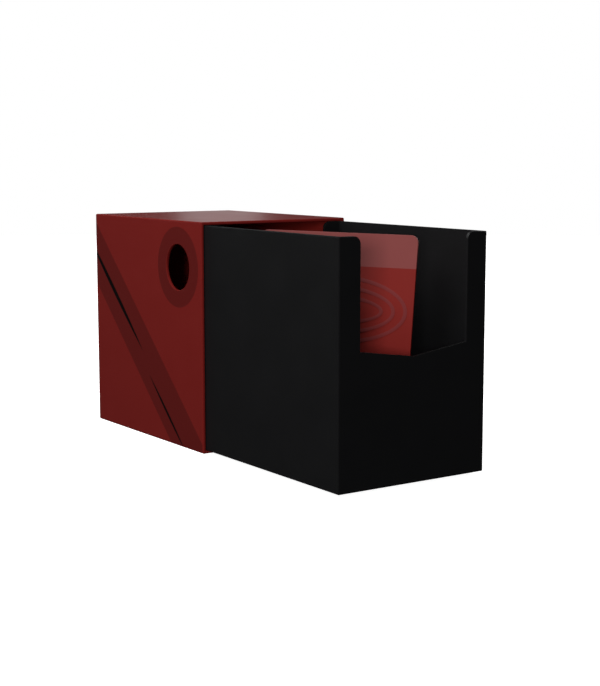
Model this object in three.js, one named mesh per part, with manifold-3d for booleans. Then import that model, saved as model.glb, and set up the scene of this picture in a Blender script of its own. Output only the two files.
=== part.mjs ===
// Card deck box: an outer shell, a tray that slides out of its mouth like a drawer, and a
// loose divider standing in the tray. Millimetres, +Z up, +X is the way the tray comes out.
// The origin is under the middle of the whole box, on the surface that the shell stands on,
// with the tray drawn out until only its rear end is still held in the mouth.

import * as THREE from 'three';
import { mergeVertices } from 'three/addons/utils/BufferGeometryUtils.js';
import Module from 'manifold-3d';

// Tray: one moulding, open on top, outer sizes.
const TRAY_LENGTH = 97;
const TRAY_WIDTH = 71.4;
const TRAY_HEIGHT = 96;
const TRAY_WALL = 1.5;
const TRAY_EDGE_RADIUS = 0.5;

// Finger notch, the same in both end panels of the tray. Its floor is a shallow V.
const NOTCH_WIDTH = 52;
const NOTCH_SIDE_Z = 53;
const NOTCH_MIDDLE_Z = 49.3;
const NOTCH_LIP_RADIUS = 3;

// Shell: closed on five sides, open at its mouth.
const SHELL_WALL = 1.2;
const SHELL_EDGE_RADIUS = 0.6;
const RUNNING_GAP = 0.25;
const END_GAP = 0.6;

// Round thumb hole through both long sides of the shell.
const THUMB_HOLE_RADIUS = 10;
const THUMB_HOLE_FROM_MOUTH = 20.4;
const THUMB_HOLE_Z = 78.7;

// How far the tray's rear end stays inside the mouth.
const ENGAGEMENT = 1;

// Divider: a thin card-sized panel, standing loose on the tray's floor.
const DIVIDER_WIDTH = 67;
const DIVIDER_HEIGHT = 93;
const DIVIDER_THICKNESS = 1.2;
const DIVIDER_CORNER_RADIUS = 3;
const DIVIDER_FROM_TRAY_REAR = 56;
const DIVIDER_OFF_CENTRE = -14;
const DIVIDER_TURN = THREE.MathUtils.degToRad(35.4);
const DIVIDER_LEAN = THREE.MathUtils.degToRad(8.95);
const DIVIDER_TILT = THREE.MathUtils.degToRad(1.1);
const RESTING_GAP = 0.3;

// Facets and cutting margin.
const CORNER_SEGMENTS = 4;
const HOLE_SEGMENTS = 64;
const CUT_MARGIN = 1;

// Sizes that follow from the ones above.
const SHELL_GROWTH = RUNNING_GAP + SHELL_WALL;
const SHELL_LENGTH = TRAY_LENGTH + END_GAP + SHELL_WALL;
const SHELL_WIDTH = TRAY_WIDTH + 2 * SHELL_GROWTH;
const SHELL_HEIGHT = TRAY_HEIGHT + 2 * SHELL_GROWTH;
const OVERALL_LENGTH = SHELL_LENGTH + TRAY_LENGTH - ENGAGEMENT;
const SHELL_REAR_X = -OVERALL_LENGTH / 2;
const MOUTH_X = SHELL_REAR_X + SHELL_LENGTH;
const TRAY_REAR_X = MOUTH_X - ENGAGEMENT;

const wasm = await Module();
wasm.setup();

// A closed three.js geometry as a solid that can be joined and cut.
function solid(geometry) {
  const bare = geometry.clone();
  bare.deleteAttribute('normal');
  bare.deleteAttribute('uv');
  const merged = mergeVertices(bare, 1e-4);
  const vertProperties = new Float32Array(merged.attributes.position.array);
  const triVerts = new Uint32Array(merged.index.array);
  return new wasm.Manifold(new wasm.Mesh({ numProp: 3, vertProperties, triVerts }));
}

// A solid back as a three.js geometry with flat faces.
function geometryOf(body) {
  const { vertProperties, triVerts } = body.getMesh();
  const indexed = new THREE.BufferGeometry();
  indexed.setAttribute('position', new THREE.BufferAttribute(vertProperties, 3));
  indexed.setIndex(new THREE.BufferAttribute(triVerts, 1));
  const faceted = indexed.toNonIndexed();
  faceted.computeVertexNormals();
  return faceted;
}

function roundedRectangle(width, height, radius) {
  const x = width / 2 - radius;
  const y = height / 2 - radius;
  const outline = new THREE.Shape();
  outline.absarc(x, -y, radius, -Math.PI / 2, 0, false);
  outline.absarc(x, y, radius, 0, Math.PI / 2, false);
  outline.absarc(-x, y, radius, Math.PI / 2, Math.PI, false);
  outline.absarc(-x, -y, radius, Math.PI, 1.5 * Math.PI, false);
  return outline;
}

function extrude(outline, depth) {
  return new THREE.ExtrudeGeometry(outline, {
    depth,
    bevelEnabled: false,
    curveSegments: CORNER_SEGMENTS,
  });
}

// Turns an outline drawn across the box, with y up, and extruded along z, to run along +X.
function alongX(geometry) {
  const across = new THREE.Vector3(0, 1, 0);
  const up = new THREE.Vector3(0, 0, 1);
  const out = new THREE.Vector3(1, 0, 0);
  return geometry.applyMatrix4(new THREE.Matrix4().makeBasis(across, up, out));
}

function outerShell() {
  const outline = roundedRectangle(SHELL_WIDTH, SHELL_HEIGHT, SHELL_EDGE_RADIUS);
  const block = alongX(extrude(outline, SHELL_LENGTH));
  block.translate(0, 0, SHELL_HEIGHT / 2);

  const cavityLength = SHELL_LENGTH - SHELL_WALL + CUT_MARGIN;
  const cavity = new THREE.BoxGeometry(
    cavityLength,
    SHELL_WIDTH - 2 * SHELL_WALL,
    SHELL_HEIGHT - 2 * SHELL_WALL,
  );
  cavity.translate(SHELL_WALL + cavityLength / 2, 0, SHELL_HEIGHT / 2);

  const bore = new THREE.CylinderGeometry(
    THUMB_HOLE_RADIUS,
    THUMB_HOLE_RADIUS,
    SHELL_WIDTH + 2 * CUT_MARGIN,
    HOLE_SEGMENTS,
  );
  bore.translate(SHELL_LENGTH - THUMB_HOLE_FROM_MOUTH, 0, THUMB_HOLE_Z);

  return geometryOf(solid(block).subtract(solid(cavity)).subtract(solid(bore)));
}

// Outline of what the finger notch takes away: y up, centred, with its top lips flared
// outwards so that the panel's own corners stay rounded.
function notchOutline() {
  const side = NOTCH_WIDTH / 2;
  const lip = NOTCH_LIP_RADIUS;
  const top = TRAY_HEIGHT;
  const outline = new THREE.Shape();
  outline.moveTo(0, NOTCH_MIDDLE_Z);
  outline.lineTo(side, NOTCH_SIDE_Z);
  outline.lineTo(side, top - lip);
  outline.absarc(side + lip, top - lip, lip, Math.PI, Math.PI / 2, true);
  outline.lineTo(side + lip, top + CUT_MARGIN);
  outline.lineTo(-side - lip, top + CUT_MARGIN);
  outline.absarc(-side - lip, top - lip, lip, Math.PI / 2, 0, true);
  outline.lineTo(-side, NOTCH_SIDE_Z);
  outline.closePath();
  return outline;
}

function tray() {
  const block = extrude(roundedRectangle(TRAY_LENGTH, TRAY_WIDTH, TRAY_EDGE_RADIUS), TRAY_HEIGHT);
  block.translate(TRAY_LENGTH / 2, 0, 0);

  const cavity = new THREE.BoxGeometry(
    TRAY_LENGTH - 2 * TRAY_WALL,
    TRAY_WIDTH - 2 * TRAY_WALL,
    TRAY_HEIGHT,
  );
  cavity.translate(TRAY_LENGTH / 2, 0, TRAY_HEIGHT / 2 + TRAY_WALL);

  const notch = alongX(extrude(notchOutline(), TRAY_LENGTH + 2 * CUT_MARGIN));
  notch.translate(-CUT_MARGIN, 0, 0);

  return geometryOf(solid(block).subtract(solid(cavity)).subtract(solid(notch)));
}

// Stands on z = 0 with its width along x and its face towards -Y.
function divider() {
  const outline = roundedRectangle(DIVIDER_WIDTH, DIVIDER_HEIGHT, DIVIDER_CORNER_RADIUS);
  const panel = extrude(outline, DIVIDER_THICKNESS);
  panel.rotateX(Math.PI / 2);
  panel.translate(0, DIVIDER_THICKNESS, DIVIDER_HEIGHT / 2);
  return geometryOf(solid(panel));
}

function plastic(color, roughness) {
  return new THREE.MeshStandardMaterial({ color, roughness, metalness: 0 });
}

function part(name, geometry, material) {
  const mesh = new THREE.Mesh(geometry, material);
  mesh.name = name;
  return mesh;
}

const deckBox = new THREE.Group();

const shell = part('outer_shell', outerShell(), plastic(0x6a201e, 0.42));
shell.position.x = SHELL_REAR_X;
deckBox.add(shell);

const drawer = new THREE.Group();
drawer.position.set(TRAY_REAR_X, 0, SHELL_GROWTH);
deckBox.add(drawer);
drawer.add(part('tray', tray(), plastic(0x1a1a1b, 0.5)));

const panel = part('divider', divider(), plastic(0x742a26, 0.38));
panel.rotation.set(-DIVIDER_LEAN, DIVIDER_TILT, DIVIDER_TURN, 'ZXY');
const lowestPoint = new THREE.Box3().setFromObject(panel, true).min.z;
panel.position.set(
  DIVIDER_FROM_TRAY_REAR,
  DIVIDER_OFF_CENTRE,
  TRAY_WALL + RESTING_GAP - lowestPoint,
);
drawer.add(panel);

export default deckBox;
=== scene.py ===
"""A card deck box: a dark red shell, a black tray drawn out of its mouth, and a loose divider."""

import math

import bmesh
import bpy
from mathutils import Matrix, Vector


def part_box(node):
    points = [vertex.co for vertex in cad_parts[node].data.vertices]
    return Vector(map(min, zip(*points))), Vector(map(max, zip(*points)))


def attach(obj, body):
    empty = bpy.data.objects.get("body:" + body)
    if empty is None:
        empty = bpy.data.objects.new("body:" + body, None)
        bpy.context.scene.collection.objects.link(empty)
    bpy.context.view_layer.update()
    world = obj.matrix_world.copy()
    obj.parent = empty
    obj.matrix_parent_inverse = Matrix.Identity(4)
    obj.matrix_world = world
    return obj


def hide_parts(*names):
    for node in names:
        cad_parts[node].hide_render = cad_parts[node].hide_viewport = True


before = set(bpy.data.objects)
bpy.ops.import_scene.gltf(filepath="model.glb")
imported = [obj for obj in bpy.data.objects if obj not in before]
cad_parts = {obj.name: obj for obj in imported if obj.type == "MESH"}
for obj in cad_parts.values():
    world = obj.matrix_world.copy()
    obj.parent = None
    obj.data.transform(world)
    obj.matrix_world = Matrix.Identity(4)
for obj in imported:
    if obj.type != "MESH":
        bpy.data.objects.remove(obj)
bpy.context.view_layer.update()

MM = 0.001

# Wall thicknesses and radii of the mouldings.
SHELL_WALL = 1.2 * MM
TRAY_WALL = 1.5 * MM
SHELL_EDGE_RADIUS = 0.6 * MM
TRAY_EDGE_RADIUS = 0.5 * MM
INNER_RADIUS = 0.5 * MM
BROKEN_EDGE = 0.2 * MM
CUT_MARGIN = 5 * MM

# Round thumb hole through both sides of the shell.
HOLE_RADIUS = 10 * MM
HOLE_FROM_MOUTH = 20.4 * MM
HOLE_HEIGHT = 78.7 * MM

# Finger notch in both ends of the tray, with heights above the tray's underside.
NOTCH_WIDTH = 52 * MM
NOTCH_SIDE_HEIGHT = 53 * MM
NOTCH_MIDDLE_HEIGHT = 49.3 * MM
NOTCH_LIP_RADIUS = 3 * MM

# Divider: its size, and how it stands in the tray.
DIVIDER_WIDTH = 67 * MM
DIVIDER_THICKNESS = 1.2 * MM
DIVIDER_HEIGHT = 93 * MM
DIVIDER_CORNER_RADIUS = 3 * MM
DIVIDER_FROM_TRAY_REAR = 56 * MM
DIVIDER_OFF_CENTRE = -14 * MM
DIVIDER_TURN = math.radians(35.4)
DIVIDER_LEAN = math.radians(8.95)
DIVIDER_TILT = math.radians(1.1)
# Height of the paler top band on the divider, a painted reflection.
REFLECTION_BAND_HEIGHT = 13.4 * MM

# Raised motif on the divider's front: plain oval rings, one in the other, by half size.
MOTIF_HEIGHT = 62 * MM
OVAL_RINGS = ((31 * MM, 14 * MM), (26 * MM, 10 * MM), (21 * MM, 6 * MM))
RING_LINE = 1.5 * MM
MOTIF_PROUD = 0.15 * MM

# Marks that the moulding tool leaves: the gate's dimple outside, ejector pins inside.
GATE_DIMPLE_RADIUS = 4 * MM
GATE_DIMPLE_DEPTH = 0.3 * MM
GATE_STUB_RADIUS = 0.9 * MM
GATE_STUB_LENGTH = 2 * GATE_DIMPLE_DEPTH
GATE_STUB_MIDDLE = 1.5 * GATE_DIMPLE_DEPTH
PIN_RADIUS = 3 * MM
PIN_DEPTH = 0.12 * MM
PIN_INSET = 14 * MM

# Print on the shell's long sides: one straight diagonal stripe that falls from the rear edge
# with pen lines along it, and a plain ring round the thumb hole. Each print's edge softens
# over its bleed, and its reach is how far below the side faces it still colours the plastic.
STRIPE_START_HEIGHT = 81 * MM
STRIPE_FALL = math.radians(43)
STRIPE_WIDTH = 21 * MM
RING_RADIUS = 17.4 * MM
LONG_LINE = {"middle": 24 * MM, "half": 40 * MM, "offset": 0.0, "width": 2.6 * MM}
SHORT_LINE = {"middle": 96 * MM, "half": 24 * MM, "offset": -3.5 * MM, "width": 1.5 * MM}
PRINT_BLEED = 0.12 * MM
PRINT_REACH = 0.1 * MM

# Material slots of the pieces, after the main material on slot 0.
EDGE_SLOT = 1
SHELL_INSIDE_SLOT = 2
REFLECTION_BAND_SLOT = 1
MOTIF_SLOT = 2

# Studio, in metres from the origin.
FLOOR_RADIUS = 1.6
LIGHTS_AIM = Vector((0, 0, 0.05))
SURROUND_SEEN = 1.0
SURROUND_SHED = 0.03
CAMERA_PLACE = Vector((0.5046, -0.333, 0.1276))
CAMERA_HEADING = math.radians(145.489)
CAMERA_DIP = math.radians(7.786)
CAMERA_SENSOR_WIDTH = 36
CAMERA_LENS = 72.96

shell_low, shell_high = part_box("outer_shell")
tray_low, tray_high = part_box("tray")
divider_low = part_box("divider")[0]
hole_centre = Vector((shell_high.x - HOLE_FROM_MOUTH, 0, HOLE_HEIGHT))
stripe_start = Vector((shell_low.x, 0, STRIPE_START_HEIGHT))


# Materials


def linear(hex_colour):
    """An sRGB hex colour as linear RGBA."""
    channels = [int(hex_colour[i:i + 2], 16) / 255 for i in (1, 3, 5)]
    return [c / 12.92 if c <= 0.04045 else ((c + 0.055) / 1.055) ** 2.4 for c in channels] + [1]


def add(tree, kind, inputs=None, **settings):
    """Adds a node and returns its outputs. An input given a socket is linked to it."""
    node = tree.nodes.new(kind)
    for name, value in settings.items():
        setattr(node, name, value)
    for key, value in (inputs or {}).items():
        if isinstance(value, bpy.types.NodeSocket):
            tree.links.new(value, node.inputs[key])
        else:
            node.inputs[key].default_value = value
    return node.outputs


def new_material(name):
    """An empty material, and its node tree."""
    material = bpy.data.materials.new(name)
    material.use_nodes = True
    material.node_tree.nodes.clear()
    return material, material.node_tree


def moulded_skin(tree, place, grain, depth, roughness, unevenness):
    """The fine grain of a mould's walls, and a gloss that wanders a little from patch to patch.

    A real satin mould has a grain of about 0.15 mm, too fine to show, so grain is drawn coarser.
    """
    patch_size = 14 * MM
    fine = add(tree, "ShaderNodeTexNoise", {"Vector": place, "Scale": 1 / grain, "Detail": 3.0})
    patches = add(tree, "ShaderNodeTexNoise", {"Vector": place, "Scale": 1 / patch_size})
    gloss = add(tree, "ShaderNodeMapRange", {
        "Value": patches["Fac"],
        "To Min": roughness - unevenness,
        "To Max": roughness + unevenness,
    })
    normal = add(tree, "ShaderNodeBump", {"Height": fine["Fac"], "Distance": depth})
    return {
        "patches": patches["Fac"],
        "Roughness": gloss["Result"],
        "Normal": normal["Normal"],
    }


def stroke(tree, run, side, line):
    """Where a pen line is: it swells to its width in the middle and tapers to points."""
    from_middle = add(tree, "ShaderNodeMath", {0: run, 1: line["middle"]}, operation="SUBTRACT")
    along = add(tree, "ShaderNodeMath", {0: from_middle[0], 1: line["half"]}, operation="DIVIDE")
    taper = add(tree, "ShaderNodeMath", {0: along[0], 1: along[0]}, operation="MULTIPLY")
    half_width = line["width"] / 2
    room = add(tree, "ShaderNodeMath", {0: taper[0], 1: -half_width, 2: half_width},
               operation="MULTIPLY_ADD")
    off_line = add(tree, "ShaderNodeMath", {0: side, 1: line["offset"]}, operation="SUBTRACT")
    off_line = add(tree, "ShaderNodeMath", {0: off_line[0]}, operation="ABSOLUTE")
    inside = add(tree, "ShaderNodeMath", {0: room[0], 1: off_line[0]}, operation="SUBTRACT")
    return add(tree, "ShaderNodeMapRange", {"Value": inside[0], "From Max": PRINT_BLEED})[0]


def shell_print(tree, place):
    """Where the tonal print and the pen lines are, on the two outer side faces only."""
    axes = add(tree, "ShaderNodeSeparateXYZ", {"Vector": place})
    from_middle = add(tree, "ShaderNodeMath", {0: axes["Y"]}, operation="ABSOLUTE")
    printed_from = shell_high.y - PRINT_REACH
    on_side = add(tree, "ShaderNodeMath", {0: from_middle[0], 1: printed_from},
                  operation="GREATER_THAN")

    on_stripe = add(tree, "ShaderNodeMapping", {
        "Vector": place,
        "Location": stripe_start,
        "Rotation": (0, STRIPE_FALL, 0),
    }, vector_type="TEXTURE")
    stripe_axes = add(tree, "ShaderNodeSeparateXYZ", {"Vector": on_stripe["Vector"]})
    off_stripe = add(tree, "ShaderNodeMath", {0: stripe_axes["Z"]}, operation="ABSOLUTE")
    stripe = add(tree, "ShaderNodeMapRange", {
        "Value": off_stripe[0],
        "From Min": STRIPE_WIDTH / 2 + PRINT_BLEED,
        "From Max": STRIPE_WIDTH / 2,
    })

    from_hole = add(tree, "ShaderNodeMapping", {
        "Vector": place,
        "Location": -hole_centre,
        "Scale": (1, 0, 1),
    })
    distance = add(tree, "ShaderNodeVectorMath", {0: from_hole["Vector"]}, operation="LENGTH")
    ring = add(tree, "ShaderNodeMapRange", {
        "Value": distance["Value"],
        "From Min": RING_RADIUS + PRINT_BLEED,
        "From Max": RING_RADIUS,
    })

    tone = add(tree, "ShaderNodeMath", {0: stripe[0], 1: ring[0]}, operation="MAXIMUM")
    tone = add(tree, "ShaderNodeMath", {0: tone[0], 1: on_side[0]}, operation="MULTIPLY")
    lines = [stroke(tree, stripe_axes["X"], stripe_axes["Z"], line)
             for line in (LONG_LINE, SHORT_LINE)]
    ink = add(tree, "ShaderNodeMath", {0: lines[0], 1: lines[1]}, operation="MAXIMUM")
    ink = add(tree, "ShaderNodeMath", {0: ink[0], 1: on_side[0]}, operation="MULTIPLY")
    return tone[0], ink[0]


def shell_plastic():
    """Satin moulded ABS with a tonal print: deep red, with maroon print a shade darker."""
    material, tree = new_material("abs_moulded_satin_dark_red")
    place = add(tree, "ShaderNodeTexCoord")["Object"]
    skin = moulded_skin(tree, place, grain=0.6 * MM, depth=0.01 * MM, roughness=0.3,
                        unevenness=0.04)
    tone, ink = shell_print(tree, place)
    red = add(tree, "ShaderNodeMix", {
        "Factor": skin["patches"], "A": linear("#6c1b18"), "B": linear("#701e1b"),
    }, data_type="RGBA")
    printed = add(tree, "ShaderNodeMix", {
        "Factor": tone, "A": red["Result"], "B": linear("#581715"),
    }, data_type="RGBA")
    inked = add(tree, "ShaderNodeMix", {
        "Factor": ink, "A": printed["Result"], "B": linear("#050303"),
    }, data_type="RGBA")
    surface = add(tree, "ShaderNodeBsdfPrincipled", {
        "Base Color": inked["Result"],
        "Roughness": skin["Roughness"],
        "Normal": skin["Normal"],
        "IOR": 1.53,
        "Specular IOR Level": 0.2,
    })
    add(tree, "ShaderNodeOutputMaterial", {"Surface": surface["BSDF"]})
    return material


def matt_edge(name, colour_low, colour_high):
    """A moulded corner, where the mould's grain is coarsest: no glint runs along it."""
    patch_size = 4 * MM
    material, tree = new_material(name)
    place = add(tree, "ShaderNodeTexCoord")["Object"]
    patches = add(tree, "ShaderNodeTexNoise", {"Vector": place, "Scale": 1 / patch_size})
    colour = add(tree, "ShaderNodeMix", {
        "Factor": patches["Fac"], "A": linear(colour_low), "B": linear(colour_high),
    }, data_type="RGBA")
    surface = add(tree, "ShaderNodeBsdfPrincipled", {
        "Base Color": colour["Result"],
        "Roughness": 0.75,
        "IOR": 1.53,
        "Specular IOR Level": 0.05,
    })
    add(tree, "ShaderNodeOutputMaterial", {"Surface": surface["BSDF"]})
    return material


def plain_plastic(name, colours, grain, depth, roughness, unevenness, specular):
    """A self-coloured moulding: two close shades that drift, under a fine grain."""
    material, tree = new_material(name)
    place = add(tree, "ShaderNodeTexCoord")["Object"]
    skin = moulded_skin(tree, place, grain, depth, roughness, unevenness)
    colour = add(tree, "ShaderNodeMix", {
        "Factor": skin["patches"], "A": linear(colours[0]), "B": linear(colours[1]),
    }, data_type="RGBA")
    surface = add(tree, "ShaderNodeBsdfPrincipled", {
        "Base Color": colour["Result"],
        "Roughness": skin["Roughness"],
        "Normal": skin["Normal"],
        "IOR": 1.5,
        "Specular IOR Level": specular,
    })
    add(tree, "ShaderNodeOutputMaterial", {"Surface": surface["BSDF"]})
    return material


def shell_inside_lightened_plastic():
    """The shell's inner walls, smooth from the core of the mould, in a red lighter than the
    outside: painted light where little light reaches inside.
    """
    return plain_plastic("abs_moulded_red_inside_painted_light", ("#8a2620", "#8f2a24"),
                         grain=0.8 * MM, depth=0.004 * MM, roughness=0.36, unevenness=0.04,
                         specular=0.2)


def tray_plastic():
    """Satin moulded black ABS: near black, with a soft sheen that never turns to a mirror."""
    return plain_plastic("abs_moulded_satin_black", ("#121213", "#151516"),
                         grain=0.6 * MM, depth=0.01 * MM, roughness=0.45, unevenness=0.05,
                         specular=0.18)


def divider_plastic():
    """Smooth polypropylene sheet: an even brick red with a soft, weak sheen."""
    return plain_plastic("pp_pressed_sheet_brick_red", ("#782420", "#7c2723"),
                         grain=0.9 * MM, depth=0.005 * MM, roughness=0.45, unevenness=0.04,
                         specular=0.12)


def reflection_band_plastic():
    """The same sheet along its top band: rougher and flat, and paler and slightly milky with a
    painted reflection.
    """
    return plain_plastic("pp_brick_red_painted_reflection", ("#7d3f3d", "#824341"),
                         grain=0.5 * MM, depth=0.02 * MM, roughness=0.62, unevenness=0.05,
                         specular=0.2)


def motif_plastic():
    """The raised motif, matted in the tool: a faint mauve cast over the brick red."""
    return plain_plastic("pp_matted_motif_mauve_red", ("#712c2c", "#752f2f"),
                         grain=0.5 * MM, depth=0.01 * MM, roughness=0.55, unevenness=0.04,
                         specular=0.15)


def floor_paint():
    """Matt white studio paint, lit from within so that shadows on it stay faint."""
    material, tree = new_material("studio_paint_matt_white")
    surface = add(tree, "ShaderNodeBsdfPrincipled", {
        "Base Color": linear("#fbfbfb"),
        "Roughness": 0.9,
        "Specular IOR Level": 0.0,
        "Emission Color": linear("#ffffff"),
        "Emission Strength": 0.9,
    })
    add(tree, "ShaderNodeOutputMaterial", {"Surface": surface["BSDF"]})
    return material


# Mesh work


def rounded_block(low, high, radius):
    """A box between two corners with every edge rounded, the roundings on the edge slot."""
    flat = 0.999
    bm = bmesh.new()
    bmesh.ops.create_cube(bm, size=1)
    low, high = Vector(low), Vector(high)
    bmesh.ops.scale(bm, vec=high - low, verts=bm.verts)
    bmesh.ops.translate(bm, vec=(low + high) / 2, verts=bm.verts)
    bmesh.ops.bevel(bm, geom=bm.edges[:], offset=radius, offset_type="OFFSET", affect="EDGES",
                    segments=4, profile=0.5, material=-1)
    bm.normal_update()
    for face in bm.faces:
        if max(abs(part) for part in face.normal) < flat:
            face.material_index = EDGE_SLOT
    return bm


def disc(centre, radius, depth, axis):
    """A round plug through a point, its depth running along an axis named X, Y or Z."""
    bm = bmesh.new()
    bmesh.ops.create_cone(bm, cap_ends=True, segments=96, radius1=radius, radius2=radius,
                          depth=depth)
    turns = {"X": ("Y", math.pi / 2), "Y": ("X", math.pi / 2), "Z": ("Z", 0)}
    about, angle = turns[axis]
    bmesh.ops.rotate(bm, matrix=Matrix.Rotation(angle, 3, about), verts=bm.verts)
    bmesh.ops.translate(bm, vec=centre, verts=bm.verts)
    return bm


def thicken(bm, direction):
    """Pulls the flat faces of a bmesh along a direction into a closed solid."""
    moved = bmesh.ops.extrude_face_region(bm, geom=bm.faces[:])
    tops = [item for item in moved["geom"] if isinstance(item, bmesh.types.BMVert)]
    bmesh.ops.translate(bm, vec=direction, verts=tops)
    bmesh.ops.recalc_face_normals(bm, faces=bm.faces)


def prism(points, direction):
    """A flat outline through points, pulled along a direction."""
    bm = bmesh.new()
    bm.faces.new([bm.verts.new(p) for p in points])
    thicken(bm, direction)
    return bm


def arc(centre, radius, begin, end, steps=8):
    """Points on a circle's arc, angles in degrees."""
    angles = [math.radians(begin + (end - begin) * i / steps) for i in range(steps + 1)]
    return [(centre[0] + radius * math.cos(a), centre[1] + radius * math.sin(a)) for a in angles]


def raised_oval(half_size):
    """A flat oval ring of the motif, on a wall that faces -Y, its foot sunk a little into it."""
    half_width, half_height = half_size
    sunk = 0.1 * MM
    bm = bmesh.new()
    for inset in (0, RING_LINE):
        rim = bmesh.ops.create_circle(bm, segments=96, radius=1)["verts"]
        size = (half_width - inset, half_height - inset, 1)
        bmesh.ops.scale(bm, vec=size, verts=rim)
    bmesh.ops.bridge_loops(bm, edges=bm.edges[:])
    thicken(bm, (0, 0, sunk + MOTIF_PROUD))
    for face in bm.faces:
        face.material_index = MOTIF_SLOT
    bmesh.ops.rotate(bm, matrix=Matrix.Rotation(math.pi / 2, 3, "X"), verts=bm.verts)
    bmesh.ops.translate(bm, vec=(0, sunk, MOTIF_HEIGHT), verts=bm.verts)
    return bm


def to_object(bm, name, *materials):
    """A finished bmesh as a new object with its materials."""
    mesh = bpy.data.meshes.new(name)
    for material in materials:
        mesh.materials.append(material)
    bm.to_mesh(mesh)
    bm.free()
    piece = bpy.data.objects.new(name, mesh)
    bpy.context.scene.collection.objects.link(piece)
    return piece


def settle(piece):
    """Applies every modifier of a piece to its mesh."""
    graph = bpy.context.evaluated_depsgraph_get()
    mesh = bpy.data.meshes.new_from_object(piece.evaluated_get(graph))
    piece.modifiers.clear()
    piece.data = mesh


def combine(piece, operation, *solids):
    """Cuts bmeshes out of a piece (DIFFERENCE) or joins them to it (UNION)."""
    tools = [to_object(bm, f"tool_{i}") for i, bm in enumerate(solids)]
    for tool in tools:
        step = piece.modifiers.new(operation.lower(), "BOOLEAN")
        step.operation = operation
        step.solver = "EXACT"
        step.object = tool
    settle(piece)
    for tool in tools:
        bpy.data.objects.remove(tool)


def break_edges(piece, edge_slot=-1):
    """Takes every sharp edge off by a hair, in the material of edge_slot, or its own."""
    bevel = piece.modifiers.new("broken_edges", "BEVEL")
    bevel.width = BROKEN_EDGE
    bevel.segments = 3
    bevel.limit_method = "ANGLE"
    bevel.angle_limit = math.radians(40)
    bevel.material = edge_slot
    settle(piece)


def hand_over(piece, body, node):
    """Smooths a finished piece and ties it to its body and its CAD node."""
    for face in piece.data.polygons:
        face.use_smooth = True
    weighted = piece.modifiers.new("flat_faces_stay_flat", "WEIGHTED_NORMAL")
    weighted.weight = 100
    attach(piece, body)
    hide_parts(node)


# Pieces


def make_shell():
    """The outer moulding: open at its mouth, with a thumb hole through each long side."""
    block = rounded_block(shell_low, shell_high, SHELL_EDGE_RADIUS)
    piece = to_object(block, "shell_moulding", shell_plastic(),
                      matt_edge("abs_moulded_matt_dark_red_edge", "#6a1a17", "#701e1b"),
                      shell_inside_lightened_plastic())
    walls = Vector((SHELL_WALL, SHELL_WALL, SHELL_WALL))
    inner_high = shell_high - walls
    inner_high.x = shell_high.x + CUT_MARGIN
    cavity = rounded_block(shell_low + walls, inner_high, INNER_RADIUS)
    # The inner walls take the lightened red, painted light for the shade inside the shell.
    for face in cavity.faces:
        face.material_index = SHELL_INSIDE_SLOT
    bore = disc(hole_centre, HOLE_RADIUS, shell_high.y - shell_low.y + CUT_MARGIN, "Y")
    combine(piece, "DIFFERENCE", cavity, bore)
    break_edges(piece, EDGE_SLOT)

    gate = Vector((shell_low.x, 0, (shell_low.z + shell_high.z) / 2))
    combine(piece, "DIFFERENCE", disc(gate, GATE_DIMPLE_RADIUS, 2 * GATE_DIMPLE_DEPTH, "X"))
    stub = gate + Vector((GATE_STUB_MIDDLE, 0, 0))
    combine(piece, "UNION", disc(stub, GATE_STUB_RADIUS, GATE_STUB_LENGTH, "X"))
    hand_over(piece, "shell", "outer_shell")


def notch_points():
    """The finger notch's outline across the tray, as (y, z): a shallow V with flared lips."""
    base = tray_low.z
    top = tray_high.z
    side = NOTCH_WIDTH / 2
    lip = NOTCH_LIP_RADIUS
    right = [(0, base + NOTCH_MIDDLE_HEIGHT), (side, base + NOTCH_SIDE_HEIGHT)]
    right += arc((side + lip, top - lip), lip, 180, 90)
    right += [(side + lip, top + CUT_MARGIN)]
    left = [(-y, z) for y, z in reversed(right[1:])]
    return right + left


def make_tray():
    """The sliding moulding: open on top, notched at both ends, its rim all in the edge finish."""
    block = rounded_block(tray_low, tray_high, TRAY_EDGE_RADIUS)
    piece = to_object(block, "tray_moulding", tray_plastic(),
                      matt_edge("abs_moulded_matt_black_edge", "#111112", "#151516"))
    walls = Vector((TRAY_WALL, TRAY_WALL, TRAY_WALL))
    inner_low = tray_low + walls
    inner_high = tray_high - walls
    cavity_top = Vector((inner_high.x, inner_high.y, tray_high.z + CUT_MARGIN))
    cavity = rounded_block(inner_low, cavity_top, INNER_RADIUS)
    start = tray_low.x - CUT_MARGIN
    run = tray_high.x - tray_low.x + 2 * CUT_MARGIN
    notch = prism([(start, y, z) for y, z in notch_points()], (run, 0, 0))
    combine(piece, "DIFFERENCE", cavity, notch)
    break_edges(piece, EDGE_SLOT)
    for face in piece.data.polygons:
        if face.center.z > tray_high.z - TRAY_EDGE_RADIUS:
            face.material_index = EDGE_SLOT

    pins = [
        Vector((x, y, inner_low.z))
        for x in (inner_low.x + PIN_INSET, inner_high.x - PIN_INSET)
        for y in (inner_low.y + PIN_INSET, inner_high.y - PIN_INSET)
    ]
    marks = [disc(pin, PIN_RADIUS, 2 * PIN_DEPTH, "Z") for pin in pins]
    gate = Vector(((tray_low.x + tray_high.x) / 2, 0, tray_low.z))
    marks.append(disc(gate, GATE_DIMPLE_RADIUS, 2 * GATE_DIMPLE_DEPTH, "Z"))
    combine(piece, "DIFFERENCE", *marks)
    stub = gate + Vector((0, 0, GATE_STUB_MIDDLE))
    combine(piece, "UNION", disc(stub, GATE_STUB_RADIUS, GATE_STUB_LENGTH, "Z"))
    hand_over(piece, "tray", "tray")


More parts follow.
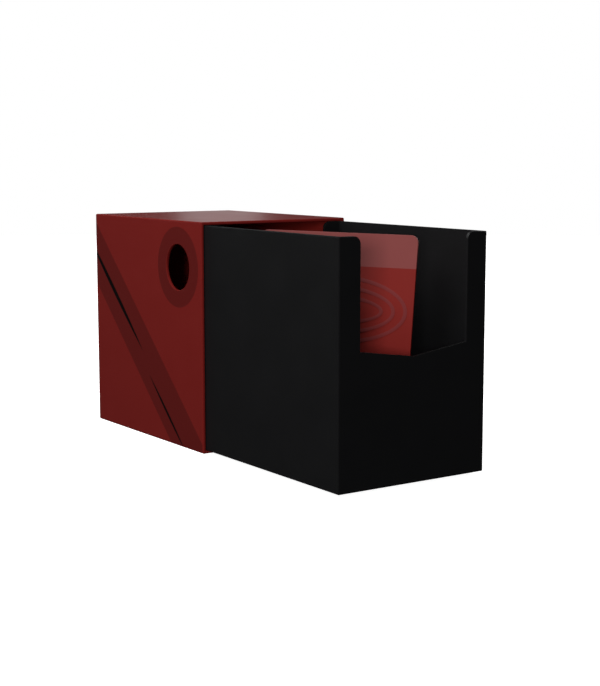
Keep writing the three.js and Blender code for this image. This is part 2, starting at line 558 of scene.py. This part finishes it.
def divider_panel():
    """The panel standing upright, its front at y = 0, its band of painted reflection marked off."""
    corner = DIVIDER_CORNER_RADIUS
    side = DIVIDER_WIDTH / 2 - corner
    top = DIVIDER_HEIGHT - corner
    outline = arc((side, corner), corner, -90, 0) + arc((side, top), corner, 0, 90)
    outline += arc((-side, top), corner, 90, 180) + arc((-side, corner), corner, 180, 270)
    bm = prism([(x, 0, z) for x, z in outline], (0, DIVIDER_THICKNESS, 0))
    # Faces above this height take the paler band, a painted reflection along the top.
    band_z = DIVIDER_HEIGHT - REFLECTION_BAND_HEIGHT
    everything = bm.verts[:] + bm.edges[:] + bm.faces[:]
    bmesh.ops.bisect_plane(bm, geom=everything, plane_co=(0, 0, band_z), plane_no=(0, 0, 1))
    for face in bm.faces:
        if face.calc_center_median().z > band_z:
            face.material_index = REFLECTION_BAND_SLOT
    return bm


def make_divider():
    """The loose panel with its motif, leaning in the tray, its lowest corner just off the floor."""
    piece = to_object(divider_panel(), "divider_panel", divider_plastic(), reflection_band_plastic(),
                      motif_plastic())
    break_edges(piece)
    combine(piece, "UNION", *[raised_oval(half_size) for half_size in OVAL_RINGS])
    piece.data.transform(
        Matrix.Rotation(DIVIDER_TURN, 4, "Z")
        @ Matrix.Rotation(-DIVIDER_LEAN, 4, "X")
        @ Matrix.Rotation(DIVIDER_TILT, 4, "Y")
    )
    lowest = min(vertex.co.z for vertex in piece.data.vertices)
    foot = (tray_low.x + DIVIDER_FROM_TRAY_REAR, DIVIDER_OFF_CENTRE, divider_low.z - lowest)
    piece.data.transform(Matrix.Translation(foot))
    hand_over(piece, "divider", "divider")


# Stage


def make_floor():
    """A round white floor, which neither mirrors in the box nor lights it."""
    bm = bmesh.new()
    bmesh.ops.create_circle(bm, cap_ends=True, segments=128, radius=FLOOR_RADIUS)
    floor = to_object(bm, "floor", floor_paint())
    floor.visible_glossy = False
    floor.visible_diffuse = False


def softbox(name, place, size, power):
    """A rectangular studio light facing the box. size is its width and height."""
    data = bpy.data.lights.new(name, "AREA")
    data.shape = "RECTANGLE"
    data.size, data.size_y = size
    data.energy = power
    lamp = bpy.data.objects.new(name, data)
    lamp.location = place
    lamp.visible_camera = False
    lamp.rotation_euler = (LIGHTS_AIM - Vector(place)).to_track_quat("-Z", "Y").to_euler()
    bpy.context.scene.collection.objects.link(lamp)
    return lamp


def make_lights():
    """A key, three fills, and a narrow light that leaves the pale streak on the shell's top."""
    softbox("key_left", place=(-0.02, -0.36, 0.5), size=(0.5, 0.4), power=2.9)
    front = softbox("front_fill", place=(0.96, -0.88, 0.21), size=(0.3, 0.2), power=8.5)
    front.visible_glossy = False
    softbox("far_side_fill", place=(-0.4, 1.15, 0.8), size=(0.8, 0.7), power=11)
    softbox("rear_fill", place=(-1.3, 0.0, 0.7), size=(0.8, 0.7), power=6)
    softbox("top_streak", place=(-1.366, 0.803, 0.35), size=(0.13, 0.5), power=0.12)


def make_world():
    """A white surround to look at, and a very dim one to light and to be reflected."""
    world = bpy.data.worlds.new("studio")
    bpy.context.scene.world = world
    world.use_nodes = True
    tree = world.node_tree
    tree.nodes.clear()
    white = linear("#ffffff")
    dim = add(tree, "ShaderNodeBackground", {"Color": white, "Strength": SURROUND_SHED})
    bright = add(tree, "ShaderNodeBackground", {"Color": white, "Strength": SURROUND_SEEN})
    ray = add(tree, "ShaderNodeLightPath")
    surround = add(tree, "ShaderNodeMixShader", {
        0: ray["Is Camera Ray"], 1: dim["Background"], 2: bright["Background"],
    })
    add(tree, "ShaderNodeOutputWorld", {"Surface": surround["Shader"]})


def make_camera():
    """A long lens a little above the box, looking slightly down on it."""
    data = bpy.data.cameras.new("camera")
    data.sensor_width = CAMERA_SENSOR_WIDTH
    data.lens = CAMERA_LENS
    data.clip_start = 0.01
    camera = bpy.data.objects.new("camera", data)
    camera.location = CAMERA_PLACE
    level = math.cos(CAMERA_DIP)
    look = Vector((
        math.cos(CAMERA_HEADING) * level,
        math.sin(CAMERA_HEADING) * level,
        -math.sin(CAMERA_DIP),
    ))
    camera.rotation_euler = look.to_track_quat("-Z", "Y").to_euler()
    bpy.context.scene.collection.objects.link(camera)
    bpy.context.scene.camera = camera


make_camera()
make_world()
make_floor()
make_lights()
make_shell()
make_tray()
make_divider()

bpy.context.scene.view_settings.view_transform = "Standard"
